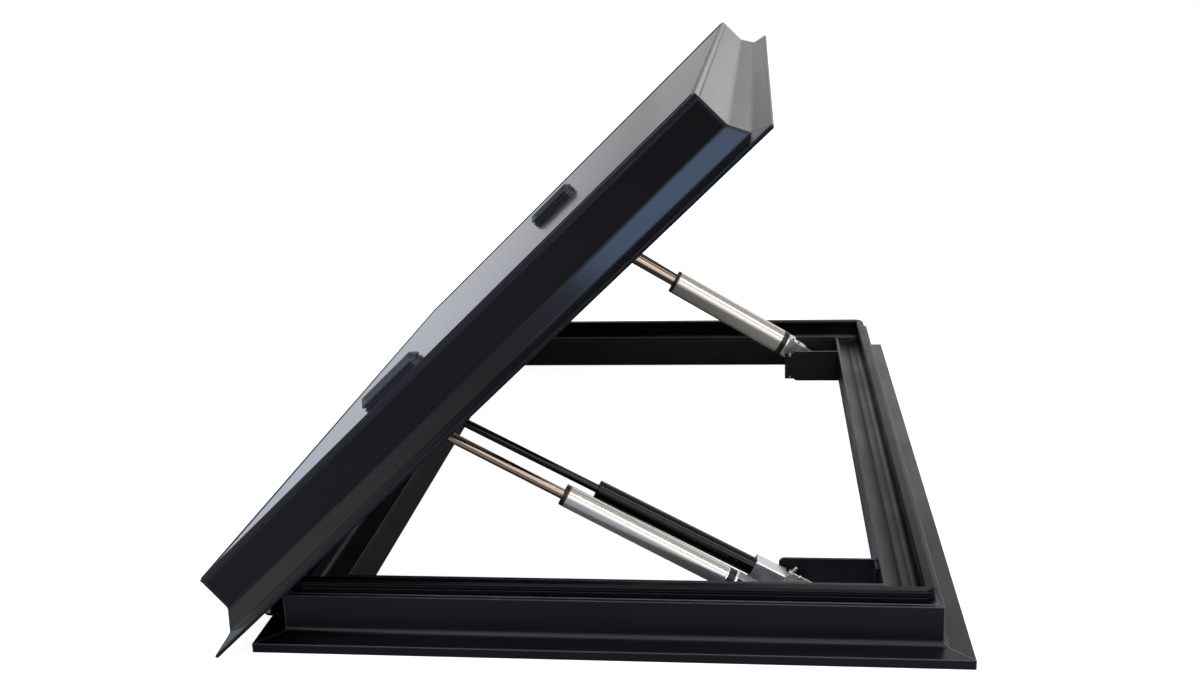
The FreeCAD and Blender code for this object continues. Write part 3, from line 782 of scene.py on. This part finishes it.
@dataclass
class Actuator:
    """Electric actuator: anodised tube, nylon collar, milled foot, polished rod, bright rings.

    Each ring is a place and a width along the strut, in mm.
    """

    name: str
    at: StrutPlace
    foot: Finish = Finishes.foot
    rings: tuple[tuple[float, float], ...] = ()
    tube_r: float = 11.5
    ring_sunk: float = 1.6
    ring_lip: float = 0.05
    ring_crown: float = 0.25
    ring_edge: float = 0.15
    crown_from: float = 0.35
    ring_steps: int = 36

    def build(self, frame: Mapping[str, dict]) -> None:
        """Dress the actuator and add any rings."""
        lean = math.degrees(self.at.slope())
        dress(frame, [f"{self.name}_tube"], Finishes.tube(lean))
        dress(frame, [f"{self.name}_rod"], Finishes.rod(lean))
        dress(frame, [f"{self.name}_caps"], Finishes.collar)
        dress(frame, [f"{self.name}_foot"], self.foot)
        dress(frame, [f"{self.name}_eye"], Finishes.eye)
        if not self.rings:
            return
        piece = Workpiece(f"{self.name}_rings")
        for start, wide in self.rings:
            piece.turn(self.ring_profile(start, wide), self.at.along(), self.ring_steps)
        piece.finished(f"{self.name}_body", Finishes.ring)

    def ring_profile(self, start: float, wide: float) -> Profile:
        """Profile of a ring round the tube, crowned between its two edges."""
        end = start + wide
        low, lip, crown = (self.tube_r + up for up in (
            -self.ring_sunk, self.ring_lip, self.ring_crown))
        return [
            (low, start, Ring.ROUND),
            (lip, start + self.ring_edge, Ring.ROUND),
            (crown, start + wide * self.crown_from, Ring.ROUND),
            (crown, end - wide * self.crown_from, Ring.ROUND),
            (lip, end - self.ring_edge, Ring.ROUND),
            (low, end, Ring.ROUND),
        ]


@dataclass
class GasStrut:
    """Gas strut: enamelled tube, nitrided rod, milled foot."""

    name: str

    def build(self, frame: Mapping[str, dict]) -> None:
        """Dress the gas strut."""
        dress(frame, [f"{self.name}_tube"], Finishes.gas_tube)
        dress(frame, [f"{self.name}_rod"], Finishes.gas_rod)
        dress(frame, [f"{self.name}_foot"], Finishes.foot)
        dress(frame, [f"{self.name}_eye"], Finishes.eye)


@dataclass
class Keeper:
    """Domed pin head and short stud with a nut, both on the near gas strut's keeper, in mm.

    The dome is given as shares of its radius and heights.
    """

    at: StrutPlace
    dome_from: tuple[float, float, float] = (8.6, -13.5, 15.6)
    dome_r: float = 2.6
    dome: tuple[tuple[float, float], ...] = (
        (1.0, -0.3), (1.0, 0.5), (0.85, 1.3), (0.5, 1.9), (0.15, 2.1))
    stud_from: tuple[float, float, float] = (-3.0, -9.0, 15.0)
    stud_way: tuple[float, float, float] = (9.1, 0.0, 10.4)
    stud: tuple[tuple[float, float], ...] = ((1.9, -3.0), (1.9, 12.4), (1.4, 13.2))
    nut: HexNut = HexNut(3.9, 3.4, 1.9)
    nut_up: float = 3.0
    edge: float = 0.15

    def build(self) -> None:
        """Add the pin head, the stud and its nut."""
        head = Workpiece("keeper_pin_head")
        head.turn([(self.dome_r * share, up, Ring.ROUND) for share, up in self.dome],
                  facing(self.at.from_base(*self.dome_from), Axis.MINUS_Y.value))
        head.finished("base", Finishes.screw)
        start = self.at.from_base(*self.stud_from)
        way = Vector(self.stud_way).normalized()
        piece = Workpiece("keeper_stud")
        piece.turn([(radius, up, Ring.ROUND) for radius, up in self.stud], facing(start, way))
        piece.turn(self.nut.profile(), facing(start + way * self.nut_up, way))
        piece.finished("base", Finishes.pin, self.edge)


@dataclass
class PocketScrews:
    """Screws in the corner pockets and the lid brackets, in mm.

    A plate bolt is its X, Z and radius, a set screw its X and Z. A foot plate's
    place is the Y of its open face. A bracket is its two ends along X and its Y.
    """

    plate_bolts: tuple[tuple[float, float, float], ...] = ((543.5, 41.2, 2.8), (543.5, 6.0, 1.6))
    plate_face: float = 343.0
    bolt_height: float = 0.7
    bolt_socket: float = 0.46
    set_screws: tuple[tuple[float, float], ...] = ((549.5, 61.0), (557.8, 55.2))
    set_screw_head: FlushHead = FlushHead(1.5, 0.8)
    far_foot_half: float = 11.0
    foot_plates: tuple[float, float, float, float] = (-419.0, -358.0, 348.0, 419.0)
    foot_plate_top: float = 30.0
    foot_screw_step: float = 9.0
    foot_screw_head: FlushHead = FlushHead(2.6, 1.2)
    brackets: tuple[tuple[float, float, float], ...] = (
        (225.2, 267.9, -443.0), (286.8, 327.0, 443.0))
    bracket_under: float = 66.7
    bracket_end_gap: float = 7.0
    bracket_head: PanHead = PanHead(3.6, 2.4, 1.7)

    def on_plate(self) -> None:
        """Brass-coloured screws in the far plate's tab and below it."""
        piece = Workpiece("pocket_plate_screws")
        for x, z, radius in self.plate_bolts:
            head = PanHead(radius, radius * self.bolt_height, radius * self.bolt_socket)
            piece.turn(head.profile(), facing((x, self.plate_face, z), Axis.MINUS_Y.value))
        piece.finished("base", Finishes.brass)

    def in_far_foot(self, far_act: StrutPlace) -> None:
        """Set screws in the far actuator's foot."""
        piece = Workpiece("far_foot_set_screws")
        for x, z in self.set_screws:
            spot = (x, far_act.y - self.far_foot_half, z)
            piece.turn(self.set_screw_head.profile(), facing(spot, Axis.MINUS_Y.value))
        piece.finished("far_actuator_body", Finishes.set_screw)

    def in_foot_plates(self, struts: Sequence[StrutPlace]) -> None:
        """Two countersunk screws in each pivot pin's foot plate."""
        piece = Workpiece("foot_plate_screws")
        for strut, face in zip(struts, self.foot_plates):
            x, z = strut.base
            way = Axis.PLUS_Y if strut.y > face else Axis.MINUS_Y
            for dx in (-self.foot_screw_step, self.foot_screw_step):
                spot = (x + dx, face, min(z, self.foot_plate_top))
                piece.turn(self.foot_screw_head.profile(), facing(spot, way.value))
        piece.finished("base", Finishes.screw)

    def in_brackets(self) -> None:
        """Pan screws through the lid brackets into the rails."""
        piece = Workpiece("lid_bracket_screws")
        for x0, x1, y in self.brackets:
            for x in (x0 + self.bracket_end_gap, x1 - self.bracket_end_gap):
                place = facing((x, y, self.bracket_under), Axis.MINUS_Z.value)
                piece.turn(self.bracket_head.profile(), OPEN_TURN @ place)
        piece.finished("lid", Finishes.screw)


@dataclass
class FootKey:
    """Brass-coloured key across the near actuator's foot, in mm."""

    at: StrutPlace
    x: float = 482.7
    z: float = 37.5
    foot_half: float = 8.0
    half: tuple[float, float] = (5.2, 0.9)
    sunk: float = 0.3
    proud: float = 0.5
    tilt_deg: float = 24.0
    edge: float = 0.15

    def build(self) -> None:
        """Add the key."""
        place = (Matrix.Translation((self.x, self.at.y - self.foot_half, self.z))
                 @ Matrix.Rotation(math.radians(self.tilt_deg), 4, "Y")
                 @ Matrix.Rotation(math.radians(90.0), 4, "X"))
        piece = Workpiece("near_foot_key")
        piece.slab(self.half, -self.sunk, self.proud, place)
        piece.finished("near_actuator_body", Finishes.brass, self.edge)


@dataclass
class Pockets:
    """Corner pockets: plates, brackets, pins and the small fasteners on them."""

    near_act: StrutPlace
    near_gas: StrutPlace
    far_act: StrutPlace
    far_gas: StrutPlace

    def build(self, frame: Mapping[str, dict]) -> None:
        """Dress the plates, brackets and pins and add the fasteners."""
        plates = [f"{end}_{kind}" for kind in ("pocket_plate", "lid_bracket")
                  for end in ("near", "far")]
        dress(frame, plates, Finishes.plate)
        dress(frame, ["near_pivot_pins", "far_pivot_pins"], Finishes.base_pin)
        screws = PocketScrews()
        Keeper(self.near_gas).build()
        screws.on_plate()
        screws.in_far_foot(self.far_act)
        FootKey(self.near_act).build()
        screws.in_foot_plates((self.near_act, self.near_gas, self.far_act, self.far_gas))
        screws.in_brackets()


@dataclass(frozen=True)
class Lamp:
    """One softbox: where it stands, what it points at, its size and power."""

    name: str
    spot: tuple[float, float, float]
    aim: tuple[float, float, float]
    size: tuple[float, float]
    power: float
    colour: str = "#FFFFFF"

    def build(self) -> None:
        """Hang the softbox."""
        data = bpy.data.lights.new(self.name, "AREA")
        data.shape = "RECTANGLE"
        data.size, data.size_y = self.size
        data.energy = self.power
        data.color = linear(self.colour)[:3]
        lamp = bpy.data.objects.new(self.name, data)
        way = Vector(self.aim) - Vector(self.spot)
        turn = way.to_track_quat("-Z", "Y").to_matrix().to_4x4()
        lamp.matrix_world = Matrix.Translation(self.spot) @ turn
        bpy.context.scene.collection.objects.link(lamp)


@dataclass(frozen=True)
class Glow:
    """A bright area of the studio that polished surfaces reflect.

    Each edge is a part of the direction looked in, its value where the area is
    still dark and its value where it is fully lit.
    """

    strength: float
    edges: tuple[tuple[str, float, float], ...]


FRONT_BOX = Glow(2.1, (("Z", 0.14, 0.38), ("Y", -0.48, -0.78), ("Z", 0.86, 0.7)))
FRONT_STRIP = Glow(6.0, (("Y", -0.46, -0.4), ("Y", -0.22, -0.28), ("Z", 0.6, 0.7)))
BACK_BOX = Glow(0.8, (("Z", 0.1, 0.24), ("Y", 0.5, 0.8), ("Z", 0.6, 0.4)))
LEFT_CARD = Glow(1.2, (("X", -0.75, -0.9), ("Z", 0.45, 0.3)))


@dataclass
class Studio:
    """Pale floor, white surroundings, softboxes and the camera."""

    camera_at: tuple[float, float, float] = (0.4974, -1.6115, 0.6595)
    pitch: float = -0.290152
    yaw: float = 0.126122
    roll: float = -0.041729
    lens: float = 39.426
    sensor: float = 36.0
    clip_start: float = 0.01
    ambient: float = 0.42
    walls: tuple[float, float] = (0.38, 0.86)
    wall_corner: tuple[float, float] = (0.02, 0.14)
    zenith: float = 0.62
    wall_top: tuple[float, float] = (0.12, 0.5)
    glows: tuple[Glow, ...] = (FRONT_BOX, FRONT_STRIP, BACK_BOX, LEFT_CARD)
    floor_size: float = 14.0
    floor_fibre: float = 60.0
    floor_colours: tuple[str, str] = ("#E9E9E9", "#EDEDED")
    floor_glossy: float = 0.88
    floor_glow: float = 0.92
    lamps: tuple[Lamp, ...] = (
        Lamp("key_softbox", (-2.2, -2.2, 2.6), (0.3, -0.3, 0.25), (2.2, 1.5), 70.0, "#A9C8FF"),
        Lamp("top_softbox", (0.8, 0.4, 3.2), (0.3, 0.0, 0.1), (2.4, 2.0), 32.0),
    )

    @staticmethod
    def rays(tree: bpy.types.NodeTree) -> tuple[Socket, Socket]:
        """Which rays see the backdrop white, and which are reflections.

        Args:
            tree: the node tree.

        Returns:
            Sockets that are 1 for camera and transmission rays, and 1 for reflections.
        """
        path = add(tree, "ShaderNodeLightPath").outputs
        seen = calculate(tree, "MAXIMUM", path["Is Camera Ray"], path["Is Transmission Ray"])
        return seen, path["Is Glossy Ray"]

    def reflected(self, tree: bpy.types.NodeTree) -> Socket:
        """What polished surfaces reflect: pale walls under a zenith, with the glows on them.

        Args:
            tree: the world's node tree.

        Returns:
            Strength for the direction looked in.
        """
        way = add(tree, "ShaderNodeTexCoord").outputs["Generated"]
        parts = add(tree, "ShaderNodeSeparateXYZ", {0: way}).outputs
        walls = spread(tree, parts["X"], self.wall_corner, self.walls, "SMOOTHSTEP")
        total = spread(tree, parts["Z"], self.wall_top, (walls, self.zenith), "SMOOTHSTEP")
        for glow in self.glows:
            strength = glow.strength
            for axis, dark, lit in glow.edges:
                share = spread(tree, parts[axis], (dark, lit), curve="SMOOTHSTEP")
                strength = calculate(tree, "MULTIPLY", share, strength)
            total = calculate(tree, "ADD", total, strength)
        return total

    def world(self) -> None:
        """White surroundings that light the object softly."""
        world = bpy.data.worlds.new("white_surroundings")
        tree = emptied(world)
        seen, reflected = self.rays(tree)
        lit = add(tree, "ShaderNodeMix", {
            0: reflected, MIX_VALUES[0]: self.ambient, MIX_VALUES[1]: self.reflected(tree)},
            data_type="FLOAT")
        strength = calculate(tree, "MAXIMUM", lit.outputs[0], seen)
        shell = add(tree, "ShaderNodeBackground", {"Color": WHITE, "Strength": strength})
        add(tree, "ShaderNodeOutputWorld", {"Surface": shell.outputs[0]})
        bpy.context.scene.world = world

    def floor_paper(self) -> bpy.types.Material:
        """Matte paper that glows white to the camera and keeps the shadow."""
        material = bpy.data.materials.new("matte_white_floor_paper")
        tree = emptied(material)
        seen, reflected = self.rays(tree)
        place = add(tree, "ShaderNodeTexCoord").outputs["Object"]
        fibre = add(tree, "ShaderNodeTexNoise", {"Vector": place, "Scale": self.floor_fibre})
        tone = blend(tree, fibre.outputs["Fac"], *(linear(c) for c in self.floor_colours))
        dim = spread(tree, reflected, (0.0, 1.0), (1.0, self.floor_glossy))
        shown = add(tree, "ShaderNodeVectorMath", {0: tone, "Scale": dim}, operation="SCALE")
        matte = add(tree, "ShaderNodeBsdfDiffuse", {"Color": shown.outputs[0]})
        glow = calculate(tree, "MULTIPLY", seen, self.floor_glow)
        light = add(tree, "ShaderNodeEmission", {"Color": WHITE, "Strength": glow})
        both = add(tree, "ShaderNodeAddShader", {0: matte.outputs[0], 1: light.outputs[0]})
        add(tree, "ShaderNodeOutputMaterial", {"Surface": both.outputs[0]})
        return material

    def floor(self) -> None:
        """Plain pale floor under the object."""
        sheet = bmesh.new()
        half = self.floor_size / 2.0
        corners = ((-half, -half), (half, -half), (half, half), (-half, half))
        sheet.faces.new([sheet.verts.new((x, y, 0.0)) for x, y in corners])
        data = bpy.data.meshes.new("studio_floor")
        sheet.to_mesh(data)
        sheet.free()
        data.materials.append(self.floor_paper())
        ground = bpy.data.objects.new("studio_floor", data)
        bpy.context.scene.collection.objects.link(ground)

    def camera(self) -> None:
        """Camera at the photograph's angle."""
        data = bpy.data.cameras.new("camera")
        data.lens = self.lens
        data.sensor_width = self.sensor
        data.clip_start = self.clip_start
        view = bpy.data.objects.new("camera", data)
        view.matrix_world = (Matrix.Translation(self.camera_at)
                             @ Matrix.Rotation(self.yaw, 4, "Z")
                             @ Matrix.Rotation(self.pitch + math.pi / 2.0, 4, "X")
                             @ Matrix.Rotation(self.roll, 4, "Z"))
        bpy.context.scene.collection.objects.link(view)
        bpy.context.scene.camera = view

    def build(self) -> None:
        """Set up the studio."""
        self.world()
        self.floor()
        for lamp in self.lamps:
            lamp.build()
        self.camera()
        bpy.context.scene.view_settings.view_transform = "Standard"


def main() -> None:
    """Build the skylight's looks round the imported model."""
    logging.basicConfig(level=logging.INFO, format="%(name)s: %(message)s")
    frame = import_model()
    near_act = StrutPlace(-403.0, (500.7, 20.6), (243.2, 48.7))
    near_gas = StrutPlace(-371.0, (528.2, 17.3), (249.9, 48.7))
    far_act = StrutPlace(372.0, (559.0, 36.6), (304.8, 48.7))
    far_gas = StrutPlace(405.7, (575.0, 18.8), (309.0, 48.7))
    Studio().build()
    CurbFrame().build(frame)
    Hinge().build(frame)
    Lid().build(frame)
    near_rings = ((34.0, 3.0), (44.5, 1.6))
    Actuator("near_actuator", near_act, Finishes.darker_foot, near_rings).build(frame)
    Actuator("far_actuator", far_act).build(frame)
    GasStrut("near_gas").build(frame)
    GasStrut("far_gas").build(frame)
    Pockets(near_act, near_gas, far_act, far_gas).build(frame)


if __name__ == "__main__":
    main()
